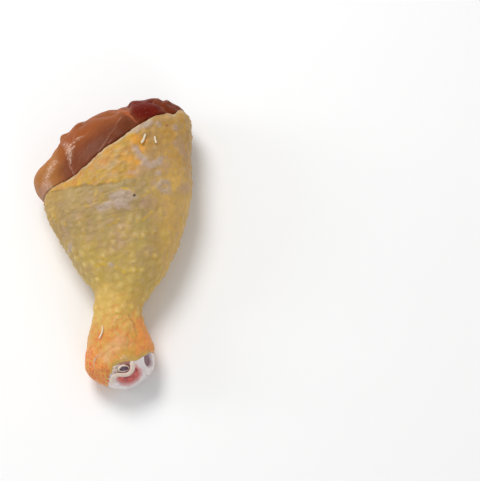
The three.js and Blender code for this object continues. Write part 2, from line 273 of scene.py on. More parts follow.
def outward(station, angle):
    """The outward direction there, from small steps along the leg and round it."""
    inside = np.clip(station, ANKLE_TIP + 0.1, KNEE_TIP - 0.1)
    along = outer_point(inside + 0.05, angle) - outer_point(inside - 0.05, angle)
    across = outer_point(inside, angle + 0.02) - outer_point(inside, angle - 0.02)
    normal = np.cross(along, across)
    return normal / np.linalg.norm(normal, axis=-1, keepdims=True)


def inside_point(station, angle, depth):
    """A point at a depth inside the outer form."""
    return outer_point(station, angle) - outward(station, angle) * np.asarray(depth)[..., None]


def even_turns(count):
    return 2 * np.pi * np.arange(count) / count


def split(points):
    """The points' x, y and z, each as one array."""
    return np.moveaxis(points, -1, 0)


def noise(points, size, seed):
    """Smooth noise from about -1 to 1, in lumps about size millimetres across."""
    random = np.random.default_rng(seed)
    shuffle = random.permutation(256)
    slopes = random.normal(size=(256, 3))
    slopes /= np.linalg.norm(slopes, axis=1, keepdims=True)
    place = points / size + random.uniform(0, 64, 3)
    cell = np.floor(place).astype(int)
    inside = place - cell
    weight = inside ** 3 * (inside * (inside * 6 - 15) + 10)
    total = np.zeros(points.shape[:-1])
    for corner in itertools.product((0, 1), repeat=3):
        x, y, z = (cell[..., axis] + corner[axis] for axis in range(3))
        index = shuffle[(shuffle[(shuffle[x & 255] + y) & 255] + z) & 255]
        slope = ((inside - corner) * slopes[index]).sum(-1)
        total += slope * np.where(corner, weight, 1 - weight).prod(-1)
    return 1.6 * total


def turned(points, degrees, along, across):
    """Points turned in plan and squeezed, so that noise of size 1 runs along that direction."""
    turn = math.radians(degrees)
    x, y, z = split(points)
    run = x * math.cos(turn) + y * math.sin(turn)
    side = y * math.cos(turn) - x * math.sin(turn)
    return np.stack([run / along, side / across, z / across], -1)


def streaky(points, degrees, along, across, seed):
    """Smooth noise in lumps that run along a direction in plan."""
    return noise(turned(points, degrees, along, across), 1, seed)


def patchy(low, high, points, size, seed):
    """A share from 0 to 1 that comes and goes with smooth noise."""
    return smooth(low, high, noise(points, size, seed))


def shaken(points, reach, size, seed):
    """Points moved about a little, to make drawn lines waver."""
    moves = [noise(points, size, seed + axis) for axis in range(3)]
    return points + reach * np.stack(moves, -1)


def off_line(points, line):
    """Distance in plan from a line through the given plan points."""
    place = points[..., :2]
    nearest = np.full(place.shape[:-1], np.inf)
    for start, end in zip(line, line[1:]):
        start, run = np.array(start[:2]), np.subtract(end[:2], start[:2])
        share = np.clip(((place - start) @ run) / (run @ run), 0, 1)
        nearest = np.minimum(nearest, np.linalg.norm(place - start - share[..., None] * run, axis=-1))
    return nearest


def off_point(points, place):
    """Distance from a place, in plan where it has two numbers."""
    return np.linalg.norm(points[..., :len(place)] - np.array(place), axis=-1)


def blob(distance, size):
    return np.exp(-((distance / size) ** 2))


def rows_towards_tip(edge, tip, count):
    """Stations from an edge to a tip at the steps of an arc, so that the rounding is even."""
    quarter = (np.pi / 2) * np.linspace(0, 0.975, count)
    return edge + (tip - edge) * np.sin(quarter)[:, None]


def closed_body(rings):
    """Points and faces of a body through rings of points, closed at each end round a middle point."""
    rows, columns = rings.shape[:2]
    faces = ring_faces(rows, columns, False)
    points = np.concatenate([rings.reshape(-1, 3), rings[0].mean(0)[None], rings[-1].mean(0)[None]])
    first, last, top = rows * columns, rows * columns + 1, (rows - 1) * columns
    for j in range(columns):
        k = (j + 1) % columns
        faces.append((first, j, k))
        faces.append((last, top + k, top + j))
    return points, faces


def with_ends(tones, first, last):
    """The tones of a closed body: those of its rings, then those of its two end points."""
    return np.concatenate([tones.reshape(-1, 3), first[None], last[None]])


def run_along(line):
    """How far along a line each of its points is."""
    return np.concatenate([[0], np.cumsum(np.linalg.norm(np.diff(line, axis=0), axis=1))])


def ring_faces(rows, columns, closes):
    i, j = np.meshgrid(np.arange(rows if closes else rows - 1), np.arange(columns), indexing="ij")
    here, above = i * columns, ((i + 1) % rows) * columns
    k = (j + 1) % columns
    return np.stack([here + j, above + j, above + k, here + k], -1).reshape(-1, 4).tolist()


def placed(name, data):
    """A new object, linked into the scene."""
    made = bpy.data.objects.new(name, data)
    bpy.context.scene.collection.objects.link(made)
    return made


def piece(name, points, faces, material, replaced, tones):
    """A smooth mesh from points in millimetres, with a colour at each point."""
    mesh = bpy.data.meshes.new(name)
    mesh.from_pydata(((points - MIDDLE) * 0.001).tolist(), [], faces)
    mesh.shade_smooth()
    attribute = mesh.attributes.new("tone", "FLOAT_COLOR", "POINT")
    rgba = np.concatenate([tones, np.ones((len(tones), 1))], 1)
    attribute.data.foreach_set("color", rgba.astype(np.float32).ravel())
    mesh.materials.append(material)
    made = placed(name, mesh)
    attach(made, "root")
    if replaced:
        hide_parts(*replaced)
    return made


# Camera, light and floor. Lengths and places are metres in the frame.
CAMERA_ELEVATION = 70       # degrees
CAMERA_DISTANCE = 0.628
CAMERA_LENS = 110           # millimetres
AIM = ((54.7 - MIDDLE[0]) * 0.001, -MIDDLE[1] * 0.001, 0.0171)
SKY = (0.42, 0.5)           # strength level with the floor, and overhead
LIGHTS = [                  # name, place, diameter and power
    ("high_light", (-0.24, 0.42, 0.86), 0.45, 5.6),
    ("left_window", (-0.9, 0.1, 0.42), 0.4, 1.8),
    ("front_window", (0.4, -0.85, 0.4), 0.5, 1.6),
]
FLOOR_REACH = 3.0
FLOOR_COLOUR = (0.93, 0.93, 0.93, 1)


def aimed(made, place, direction):
    """Puts an object at a place and turns it to look in a direction."""
    made.location = place
    made.rotation_mode = "QUATERNION"
    made.rotation_quaternion = direction.to_track_quat("-Z", "Y")


def camera():
    """Looks down on the leg from beyond its ankle end."""
    elevation = math.radians(CAMERA_ELEVATION)
    back = Vector((0, -math.cos(elevation), math.sin(elevation)))
    data = bpy.data.cameras.new("camera")
    data.lens = CAMERA_LENS
    made = placed("camera", data)
    aimed(made, Vector(AIM) + back * CAMERA_DISTANCE, -back)
    bpy.context.scene.camera = made


def soft_light(name, place, size, power):
    """A round light that faces the frame's origin."""
    data = bpy.data.lights.new(name, "AREA")
    data.shape = "DISK"
    data.size = size
    data.energy = power
    aimed(placed(name, data), place, -Vector(place))


def range_node(nodes, links, value, *limits):
    """The value brought from one range to another; the limits are the low and high of each."""
    made = nodes.new("ShaderNodeMapRange")
    for key, number in zip(("From Min", "From Max", "To Min", "To Max"), limits):
        made.inputs[key].default_value = number
    links.new(value, made.inputs["Value"])
    return made.outputs["Result"]


def surroundings():
    """An even daylight, brighter from above, a light high behind the knee, and two windows."""
    world = bpy.data.worlds.new("daylight")
    world.use_nodes = True
    nodes, links = world.node_tree.nodes, world.node_tree.links
    place = nodes.new("ShaderNodeTexCoord")
    parts = nodes.new("ShaderNodeSeparateXYZ")
    links.new(place.outputs["Generated"], parts.inputs["Vector"])
    level = range_node(nodes, links, parts.outputs["Z"], 0, 1, *SKY)
    links.new(level, nodes["Background"].inputs["Strength"])
    nodes["Background"].inputs["Color"].default_value = (1, 1, 1, 1)
    bpy.context.scene.world = world
    bpy.context.scene.view_settings.view_transform = "Standard"
    for light in LIGHTS:
        soft_light(*light)


def floor():
    mesh = bpy.data.meshes.new("floor")
    corners = ((-1, -1), (1, -1), (1, 1), (-1, 1))
    mesh.from_pydata([(x * FLOOR_REACH, y * FLOOR_REACH, 0) for x, y in corners], [], [(0, 1, 2, 3)])
    made = placed("floor", mesh)
    material = bpy.data.materials.new("pale_floor")
    material.use_nodes = True
    shader = material.node_tree.nodes["Principled BSDF"]
    shader.inputs["Base Color"].default_value = FLOOR_COLOUR
    shader.inputs["Roughness"].default_value = 0.9
    shader.inputs["Specular IOR Level"].default_value = 0.1
    mesh.materials.append(material)


# Materials.
class Surface:
    """A moist material in the making, on top of the tone painted on the mesh. Sizes are millimetres."""

    def __init__(self, name, settings):
        self.material = bpy.data.materials.new(name)
        self.material.use_nodes = True
        self.nodes = self.material.node_tree.nodes
        self.links = self.material.node_tree.links
        self.shader = self.nodes["Principled BSDF"]
        for key, value in settings.items():
            self.shader.inputs[key].default_value = value
        self.place = self.nodes.new("ShaderNodeTexCoord").outputs["Object"]
        self.colour = self.attribute("tone").outputs["Color"]
        self.relief = None

    def attribute(self, name):
        made = self.nodes.new("ShaderNodeAttribute")
        made.attribute_name = name
        return made

    def turned(self, degrees, stretch):
        """Places turned in plan and squeezed along three directions, for lumps that run that way."""
        made = self.nodes.new("ShaderNodeMapping")
        made.vector_type = "TEXTURE"
        made.inputs["Rotation"].default_value = (0, 0, math.radians(degrees))
        made.inputs["Scale"].default_value = stretch
        self.links.new(self.place, made.inputs["Vector"])
        return made.outputs["Vector"]

    def texture(self, kind, size, place):
        made = self.nodes.new(kind)
        made.inputs["Scale"].default_value = 1000 / size
        self.links.new(place or self.place, made.inputs["Vector"])
        return made

    def noise(self, size, detail, place=None):
        made = self.texture("ShaderNodeTexNoise", size, place)
        made.inputs["Detail"].default_value = detail
        return made.outputs["Fac"]

    def cells(self, size, place=None):
        """Distance in from the border of small cells."""
        made = self.texture("ShaderNodeTexVoronoi", size, place)
        made.feature = "DISTANCE_TO_EDGE"
        return made.outputs["Distance"]

    def ranged(self, value, *limits):
        return range_node(self.nodes, self.links, value, *limits)

    def product(self, first, second):
        made = self.nodes.new("ShaderNodeMath")
        made.operation = "MULTIPLY"
        self.links.new(first, made.inputs[0])
        self.links.new(second, made.inputs[1])
        return made.outputs["Value"]

    def shade(self, brightness):
        made = self.nodes.new("ShaderNodeVectorMath")
        made.operation = "SCALE"
        self.links.new(self.colour, made.inputs[0])
        self.links.new(brightness, made.inputs["Scale"])
        self.colour = made.outputs["Vector"]

    def mottle(self, size, detail, darkest, brightest):
        """Brightness that varies in soft lumps."""
        self.shade(self.ranged(self.noise(size, detail), 0.3, 0.7, darkest, brightest))

    def paint(self, tone, share):
        made = self.nodes.new("ShaderNodeMix")
        made.data_type = "RGBA"
        made.inputs["B"].default_value = (*tone, 1)
        self.links.new(share, made.inputs["Factor"])
        self.links.new(self.colour, made.inputs["A"])
        self.colour = made.outputs["Result"]

    def raise_by(self, height, depth):
        made = self.nodes.new("ShaderNodeBump")
        made.inputs["Strength"].default_value = 1.0
        made.inputs["Distance"].default_value = depth * 0.001
        self.links.new(height, made.inputs["Height"])
        if self.relief:
            self.links.new(self.relief, made.inputs["Normal"])
        self.relief = made.outputs["Normal"]

    def finished(self, rough_size, rough):
        """The material, with its roughness varying between two values."""
        self.links.new(self.colour, self.shader.inputs["Base Color"])
        self.links.new(self.relief, self.shader.inputs["Normal"])
        roughness = self.ranged(self.noise(rough_size, 2), 0.35, 0.65, *rough)
        self.links.new(roughness, self.shader.inputs["Roughness"])
        return self.material


def gloss(specular, coat, coat_roughness, weight, radius, scale):
    """Shader settings: shine, a wet coat, and the light that goes through the surface."""
    return {
        "Specular IOR Level": specular,
        "Coat Weight": coat,
        "Coat Roughness": coat_roughness,
        "Subsurface Weight": weight,
        "Subsurface Radius": radius,
        "Subsurface Scale": scale * 0.001,
    }


def skin_material():
    skin = Surface("moist_skin", gloss(0.28, 0.03, 0.3, 0.12, (1.0, 0.6, 0.3), 1.5))
    skin.mottle(1.3, 2, 0.96, 1.04)
    curls = skin.noise(1.3, 2, skin.turned(20, (2.4, 1, 1)))
    skin.paint(YELLOW_FLECK, skin.ranged(curls, 0.6, 0.72, 0, 0.14))
    creases = skin.cells(1.3, skin.turned(14, (1.7, 1, 1)))
    # Painted shade in the fine creases, which are also sunk a little.
    skin.shade(skin.ranged(creases, 0, 0.12, 0.94, 1))
    skin.raise_by(skin.ranged(creases, 0, 0.25, 0, 1), 0.035)
    scales = skin.cells(1.75, skin.turned(-14, (0.9, 1.3, 1.1)))
    scaly = skin.attribute("scaly").outputs["Fac"]
    skin.paint(SCALE_GAP, skin.product(scaly, skin.ranged(scales, 0.02, 0.1, 0.7, 0.0)))
    skin.paint(SCALE_RED, skin.product(scaly, skin.ranged(scales, 0.05, 0.2, 0.0, 0.8)))
    skin.raise_by(skin.product(scaly, skin.ranged(scales, 0, 0.3, 0, 1)), 0.16)
    skin.raise_by(skin.noise(0.5, 4), 0.05)
    return skin.finished(2.6, (0.42, 0.58))


def meat_material():
    meat = Surface("wet_meat", gloss(0.01, 0.06, 0.25, 0.2, (1.0, 0.35, 0.2), 2.5))
    fibres = meat.noise(0.8, 3, meat.turned(FIBRES, (7, 1, 1)))
    meat.shade(meat.ranged(fibres, 0.3, 0.7, 0.96, 1.04))
    meat.paint(FASCIA, meat.ranged(meat.noise(0.55, 2, meat.turned(FIBRES, (9, 1, 1))), 0.62, 0.74, 0, 0.12))
    meat.raise_by(fibres, 0.03)
    meat.raise_by(meat.noise(0.7, 3), 0.06)
    return meat.finished(3.2, (0.3, 0.5))


def cartilage_material():
    bone = Surface("wet_cartilage", gloss(0.4, 0.25, 0.15, 0.25, (1.0, 0.8, 0.75), 1.5))
    bone.mottle(1.4, 3, 0.95, 1.05)
    bone.paint(BONE_PINK, bone.ranged(bone.noise(0.6, 2), 0.62, 0.75, 0, 0.3))
    bone.raise_by(bone.noise(0.6, 3), 0.04)
    return bone.finished(3.0, (0.24, 0.38))


def tendon_material():
    tendon = Surface("wet_tendon", gloss(0.4, 0.2, 0.18, 0.25, (1.0, 0.8, 0.6), 1.0))
    tendon.mottle(0.5, 3, 0.93, 1.05)
    tendon.raise_by(tendon.noise(0.3, 3), 0.03)
    return tendon.finished(1.5, (0.25, 0.4))


def marrow_material():
    marrow = Surface("wet_marrow", gloss(0.5, 0.4, 0.12, 0.1, (1.0, 0.3, 0.25), 1.0))
    pores = marrow.cells(0.7)
    marrow.mottle(0.7, 3, 0.85, 1.15)
    marrow.paint(MARROW_PALE, marrow.ranged(pores, 0.0, 0.1, 0.35, 0.0))
    marrow.raise_by(marrow.ranged(pores, 0, 0.3, 1, 0), 0.1)
    marrow.raise_by(marrow.noise(0.35, 3), 0.06)
    return marrow.finished(1.2, (0.2, 0.4))


def quill_material():
    quill = Surface("quill", gloss(0.45, 0.1, 0.3, 0.2, (1.0, 0.9, 0.7), 0.5))
    quill.mottle(0.8, 3, 0.92, 1.05)
    quill.raise_by(quill.noise(0.3, 3, quill.turned(75, (5, 1, 1))), 0.03)
    return quill.finished(1.5, (0.35, 0.5))


# Follicles: raised dots in staggered rows over the whole skin.
FOLLICLE_START = -57.0      # station of the first row
FOLLICLE_END = 46.0
FOLLICLE_ROWS = 3.3         # from row to row
FOLLICLE_STEP = 4.5         # along a row


def follicles():
    """Places of the follicles, how strong each one is, and the way its yellow crescent faces."""
    random = np.random.default_rng(5)
    angles = np.linspace(0, 2 * np.pi, 721)
    places, strengths = [], []
    for row, station in enumerate(np.arange(FOLLICLE_START, FOLLICLE_END, FOLLICLE_ROWS)):
        run = run_along(outer_point(station, angles))
        count = max(int(round(run[-1] / FOLLICLE_STEP)), 6)
        turn = (np.arange(count) + 0.5 * (row % 2) + random.uniform(-0.3, 0.3, count)) / count
        spots = np.interp(np.mod(turn, 1) * run[-1], run, angles)
        places.append(outer_point(station + random.uniform(-1.0, 1.0, count), spots))
        strengths.append(random.uniform(0.0, 1.3, count))
    places, strengths = np.concatenate(places), np.concatenate(strengths)
    facing = random.normal(-1.3, 1.0, len(places))
    return places, strengths * follicle_zone(places), facing


def follicle_zone(points):
    """The dots are clear low on the leg and along its sides, and fainter elsewhere."""
    x, y, z = split(points)
    top = smooth(20, 28, z)
    middle = blob(np.hypot((x + 2) / 15, (y - 10) / 9), 1) * top
    rough = smooth(8, -4, x - 0.5 * (y - 25)) * smooth(16, 22, y) * top
    ankle = smooth(-36, -44, y)
    high = smooth(2, 14, y) * top
    return np.clip(1 - 0.85 * middle - 0.6 * rough - 0.7 * ankle - 0.4 * high, 0.1, 1)


def dot_shapes(points, cells):
    """How far the dots, their pits, yellow crescents and the pads under them show, from 0 to 1."""
    centres, strengths, facing = follicles()
    index, distance, second = cells
    x, y, z = split(points - centres[index])
    strength = strengths[index]
    across = np.where(x * z < 0, 1, -1) * np.sqrt(np.maximum(distance ** 2 - y ** 2, 0))
    heading = np.arctan2(y, across) - facing[index]
    dot = blob(np.hypot(across, y / 1.25), 1.15) * strength
    pit = blob(np.hypot(across, y + 1.0), 0.38) * strength
    crescent = blob(distance - 1.15, 0.33) * smooth(0.35, 0.9, np.cos(heading)) * strength
    pad = smooth(-0.3, 2.6, second - distance)
    return dot, pit, crescent, pad


def nearest_cells(points, centres):
    """Index of the nearest centre, and the distances to the nearest two."""
    tree = KDTree(len(centres))
    for index, centre in enumerate(centres):
        tree.insert(centre, index)
    tree.balance()
    flat = points.reshape(-1, 3)
    index = np.empty(len(flat), int)
    first, second = np.empty(len(flat)), np.empty(len(flat))
    for i, place in enumerate(flat):
        (_, index[i], first[i]), (_, _, second[i]) = tree.find_n(place, 2)
    shape = points.shape[:-1]
    return index.reshape(shape), first.reshape(shape), second.reshape(shape)


# The crease across the skin, in plan, and other lines and marks on the upper side.
CREASE = np.array([
    (-26, 17.6), (-21.2, 17.4), (-18.4, 17.4), (-12.4, 17.0), (-5.8, 16.8), (-0.5, 17.3),
    (4.6, 18.2), (9.1, 19.7), (12.9, 21.2), (16.9, 23.1), (24, 26),
])
VEINS = [
    [(-11.3, 9.5), (-8.7, 8.0), (-6.7, 9.0), (-5.7, 12.3), (-5.0, 14.9)],
    [(-0.1, 12.6), (2.7, 14.7), (6.4, 15.6), (10.3, 14.5)],
    [(-0.9, 0.2), (2.0, 0.6), (4.0, 2.7), (6.5, 3.4)],
    [(10.2, 1.6), (13.8, 2.8), (16.4, 5.1), (17.9, 6.9)],
    [(13.7, 11.7), (17.1, 15.5)],
    [(-5.8, -14.9), (-1.5, -14.7), (2.8, -16.4), (6.9, -18.0)],
]
PALE_PATCHES = [      # line through the patch, and its half width
    ([(-3.6, 7.3), (-0.3, 8.8), (2.8, 10.8)], 1.5),
    ([(2.2, 10.9), (5.0, 12.2), (8.4, 12.4)], 2.3),
    ([(4.5, 9.2), (6.4, 9.8)], 2.0),
    ([(3.9, 8.9), (8.2, 7.6)], 0.9),
    ([(11.0, 33.4), (13.5, 29.9), (15.1, 27.3), (17.6, 26.3), (20.1, 28.1), (20.8, 30.1)], 1.35),
    ([(10.0, 43.2), (14.2, 45.2), (16.0, 47.4)], 1.8),
    ([(20.1, 23.5), (20.3, 23.6)], 1.3),
    ([(-17.0, -5.0), (-16.6, -6.2)], 0.9),
    ([(0.6, -15.2), (2.0, -15.2)], 0.8),
]
RINGS = [             # place, radius and half width
    ((22.6, 18.4), 1.9, 1.1),
    ((27.0, 46.6), 1.0, 0.5),
    ((20.0, 46.3), 0.8, 0.5),
]
ORANGE_SPOTS = [      # place and half width
    ((8.6, 28.7), 1.9),
    ((11.4, 27.2), 1.5),
    ((12.9, 33.6), 2.0),
    ((10.4, 38.0), 2.4),
    ((14.0, 37.5), 1.8),
]
BROWN_SPECK = (10.5, 12.6)
RED_SPECK = (23.3, 46.6)
ANKLE_FOLDS = [       # line in plan, depth and half width
    ([(9.2, -35.6), (10.9, -38.2), (12.0, -40.8), (12.4, -43.8)], 0.5, 0.8),
    ([(8.3, -36.2), (9.7, -38.3), (10.8, -40.7), (11.2, -43.4), (10.6, -46.2)], -0.3, 0.7),
    ([(2.3, -48.9), (0.4, -50.5), (-1.8, -52.6), (-3.5, -55.1), (-5.4, -56.7)], 0.35, 0.5),
    ([(8.6, -44.2), (9.4, -46.8), (8.6, -49.4)], 0.25, 0.6),
    ([(2.2, -43.4), (0.6, -46.2)], 0.25, 0.6),
    ([(12.6, -47.2), (14.6, -45.6), (16.0, -44.0)], 0.25, 0.7),
]
EDGE_BUMPS = [(6.0, -53.9), (7.1, -52.9), (7.8, -53.6)]
PINK_RUN = [(6.2, -46.6), (3.4, -48.8), (0.8, -51.4), (-1.2, -54.0)]
BULGE = (4.2, -47.6, 23.8)


def crease_offset(points):
    """How far up the leg from the crease a point is."""
    x, y, _ = split(points)
    waver = 0.8 * noise(points, 4.8, 31) + 0.45 * noise(points, 2.1, 32)
    return y - np.interp(x, *CREASE.T) + waver


def skin_fields(points, station, angle):
    """Everything that the skin's relief and its colour share."""
    x, y, z = split(points)
    top = smooth(8, 20, z)
    off_crease = crease_offset(points)
    band = smooth(-0.3, 0.8, off_crease) * smooth(16, 25, z)
    degrees = np.degrees(np.mod(angle, 2 * np.pi))
    near_flap = np.interp(station, [-61, -57, -50], [102, 106, 124])
    scales = (smooth(-3, 5, degrees - near_flap) * smooth(255, 225, degrees)
              * smooth(-46, -49, station + 1.5 * noise(points, 5, 41)))
    nets = blob(noise(points, 2.6, 59), 0.14) * patchy(-0.3, 0.3, points, 6, 73)
    wavering = shaken(points, 0.7, 2.2, 34)
    thin = blob(np.min([off_line(wavering, vein) for vein in VEINS], axis=0), 0.38)
    spread = 1 + 0.5 * noise(points, 3.0, 33) + 0.3 * noise(points, 1.2, 38)
    patches = [smooth(1.55, 0.45, off_line(points, line) / (width * spread)) for line, width in PALE_PATCHES]
    rings = [blob((off_point(wavering, place) - radius) / (width * spread), 1)
             for place, radius, width in RINGS]
    spots = [blob(off_point(wavering, place), width) for place, width in ORANGE_SPOTS]
    bumps = [blob(off_point(points, place), 0.42) for place in EDGE_BUMPS]
    pale = np.max(patches, axis=0) * top
    ring = np.max(rings, axis=0) * top
    return SimpleNamespace(
        top=top,
        off_crease=off_crease,
        crease=smooth(20, 27, z) * smooth(9, -6, x) * (0.75 + 0.5 * noise(points, 5.5, 35)),
        band=band,
        rough=band * smooth(14, 2, x - 0.5 * (y - 25)),
        lumps=streaky(points, 48, 3.8, 2.4, 52),
        streaks=streaky(points, 42, 2.1, 1.0, 57),
        right=smooth(14, 27, x) * smooth(-30, -10, station),
        neck=smooth(-18, -30, station),
        ankle=smooth(-34, -44, station),
        scales=scales,
        nets=nets * smooth(-28, -38, station) * (1 - scales),
        bumps=np.max(bumps, axis=0) * top,
        lines=thin * patchy(-0.5, 0.2, points, 2.0, 37) * top,
        pale=pale,
        ring=ring,
        threads=np.maximum(pale, ring) * blob(noise(points, 1.9, 39), 0.25),
        orange=np.max(spots, axis=0) * top,
        bulge=blob(off_point(points, BULGE), 5.2),
    )


def skin_relief(points, field, dots):
    """Height of the skin over the outer form, in millimetres."""
    dot, pit, crescent, pad = dots
    clear = 0.35 + 0.65 * patchy(-0.3, 0.5, points, 9, 24)
    relief = 0.5 * dot + 0.2 * pad * clear * (1 - field.neck) - 0.16 * pit + 0.06 * crescent
    for height, size, seed in ((0.45, 15, 11), (0.3, 6.5, 12), (0.15, 2.8, 13)):
        relief = relief + height * noise(points, size, seed)

    up = field.off_crease
    swell = 0.6 * smooth(-0.3, 0.7, up) * np.exp(-np.maximum(up, 0) / 8)
    relief += field.crease * (swell - 0.3 * blob(up + 0.4, 0.7))
    relief += field.rough * (0.32 * field.lumps + 0.13 * field.streaks + 0.1 * noise(points, 1.3, 15))
    relief += 0.1 * field.band * noise(points, 1.6, 26)

    plain = (1 - field.band) * (1 - field.neck) * field.top
    ripples = streaky(points, 12, 5.0, 1.3, 16) + 0.6 * streaky(points, 28, 3.0, 0.9, 22)
    relief += (plain + 0.4 * field.neck) * 0.17 * ripples
    relief += field.neck * (0.2 * streaky(points, 0, 4.0, 2.2, 17) + 0.1 * noise(points, 1.5, 18))
    relief += field.ankle * (0.25 * noise(points, 4.2, 19) + 0.16 * noise(points, 1.9, 20))
    wavering = shaken(points, 0.6, 3.0, 23)
    for line, depth, width in ANKLE_FOLDS:
        relief -= depth * blob(off_line(wavering, line), width) * field.top
    relief += 0.8 * field.bulge + 0.5 * field.bumps - 0.14 * field.nets
    relief += 0.1 * field.lines + 0.2 * field.ring + 0.12 * field.pale + 0.1 * field.threads
    return relief * smooth(0.2, 3.5, points[..., 2])


def skin_tones(points, station, field, dots, lip, flap):
    x, y, z = split(points)
    dot, pit, crescent, pad = dots
    neck, ankle, rough, top = field.neck, field.ankle, field.rough, field.top
    # The low flanks and the right side are painted warmer and brighter: partly the skin's own tone there,
    # partly painted light.
    sides = np.maximum(field.right, smooth(19, 6, z))
    band = layered(
        BAND_SKIN,
        (BAND_ORANGE, 0.35 + 1.2 * noise(points, 4.5, 68)),
        (BAND_PALE, 0.8 * smooth(0.0, 0.8, field.lumps)),
    )
    mottles = noise(points, 2.3, 103) * field.band
    patches = patchy(0.0, 0.7, points, 7.5, 54) + 0.6 * patchy(0.0, 0.7, points, 2.6, 58)
    flank = smooth(0.2, 1.6, x - np.interp(y, [-46, -41.2, -36, -30], [10.5, 12.0, 9.2, 9.0]))
    pink = blob(off_line(shaken(points, 0.8, 3, 72), PINK_RUN), 2.6)
    tone = layered(
        KHAKI,
        (OLIVE, 0.4 + 0.8 * noise(points, 12, 51)),
        (LOWER_SKIN, 0.8 * smooth(2, -16, station + 6 * noise(points, 14, 50))),
        (NECK_SKIN, neck),
        (ANKLE_SKIN, ankle),
        (SIDE_SKIN_AND_LIGHT, 0.8 * sides),
        (band, 0.9 * field.band * (1 - 0.75 * smooth(8, 20, x))),
        (SPOT_ORANGE, 0.3 * smooth(0.1, 0.6, mottles)),
        (PINK_GREY, 0.4 * smooth(0.1, 0.6, -mottles)),
        # Painted shadow: the skin darker and browner towards the upper right.
        (SHADOWED_UPPER_SKIN, 0.5 * smooth(22, 40, y) * smooth(6, 16, x)),
        (BAND_SKIN, 0.6 * smooth(-17, -26, x) * smooth(25, 17, y)),
        (PINK_GREY, 0.6 * patches * smooth(-24, -8, station) * (1 - 0.8 * rough) * (0.35 + 0.65 * top)),
        (BULGE_PINK, 0.5 * neck * patchy(0.0, 0.8, points, 3.4, 55)),
        (ANKLE_YELLOW, 0.7 * neck * patchy(0.1, 0.6, points, 2.6, 71)),
        (ANKLE_ORANGE, (0.4 * neck + 0.35 * ankle) * patchy(0.1, 0.6, points, 2.2, 70)),
        (ANKLE_RIGHT, smooth(-28, -38, station) * flank * (0.75 + 0.5 * noise(points, 3.5, 53))),
        (BULGE_PINK, 0.7 * pink * top),
        (SCALE_RED, 0.6 * field.nets),
    )

    clear = patchy(-0.2, 0.5, points, 8, 74) * (1 - 0.6 * rough) * (1 - neck)
    gaps = (1 - pad) * patchy(-0.1, 0.6, points, 6, 75) * (1 - neck)
    low_dots = smooth(-4, -16, station) * (1 - ankle)
    over_crease = blob(field.off_crease - 1.3, 1.0) * field.crease
    streaks = smooth(0.1, 0.7, field.streaks) * rough
    few = 0.55 - 0.15 * field.band
    curls = smooth(few, few + 0.35, streaky(points, 10, 3.2, 1.0, 60)) * (1 - rough) * (1 - 0.7 * ankle)
    yellow = 0.55 * crescent + 0.6 * streaks + 0.35 * curls + 0.75 * field.lines
    tone = layered(
        tone,
        (PAD_PINK, 0.3 * pad * clear),
        (GAP_YELLOW, 0.3 * gaps),
        # Painted shade in the gaps between the pads, low on the leg.
        (NECK_SHADE, 0.28 * low_dots * (1 - pad)),
        (DOT_PALE, (0.3 + 0.35 * low_dots) * dot * (1 - 0.5 * rough)),
        (GAP_YELLOW, 0.8 * over_crease * patchy(-0.2, 0.4, points, 2.4, 76)),
        (YELLOW_FLECK, np.clip(yellow, 0, 0.8)),
        (SCALE_GAP, 0.8 * field.scales),
        # The small white bumps on the ankle skin's edge are raised; their white is partly their own colour,
        # partly painted highlight.
        (BUMP_WHITE, 0.8 * field.bumps),
        (SPOT_ORANGE, 0.85 * field.orange),
        (PALE_PATCH, 0.7 * np.maximum(field.pale, field.ring)),
        (PALE_THREAD, 0.55 * field.threads),
        (LIP_PALE, 0.75 * lip),
        (FLAP_YELLOW, flap),
        (SPECK_BROWN, smooth(0.62, 0.4, off_point(points, BROWN_SPECK)) * top),
        (SPECK_RED, smooth(0.5, 0.3, off_point(points, RED_SPECK)) * top),
    )
    # Brightness that varies at random, and painted shade in the follicles' pits.
    shade = 1 + 0.03 * noise(points, 1.5, 66) + 0.06 * noise(points, 4.0, 67) - 0.16 * pit
    return tone * shade[..., None]


def rim(values, turns, angles):
    """The station where the skin ends, with the small turns of its edge."""
    degrees = np.degrees(angles)
    return around(values, angles) + sum(move * blob(degrees - at, width) for at, width, move in turns)


def turned_edge(edge, angles, reach, outer_depth):
    """Rows of points round an edge of the skin, from its outer face to its inner."""
    turn = np.linspace(0, np.pi, LIP_ROWS + 2)[1:-1, None]
    depth = outer_depth + (SKIN_THICKNESS - outer_depth) * (1 - np.cos(turn)) / 2
    return inside_point(edge + reach * np.sin(turn), angles, depth)


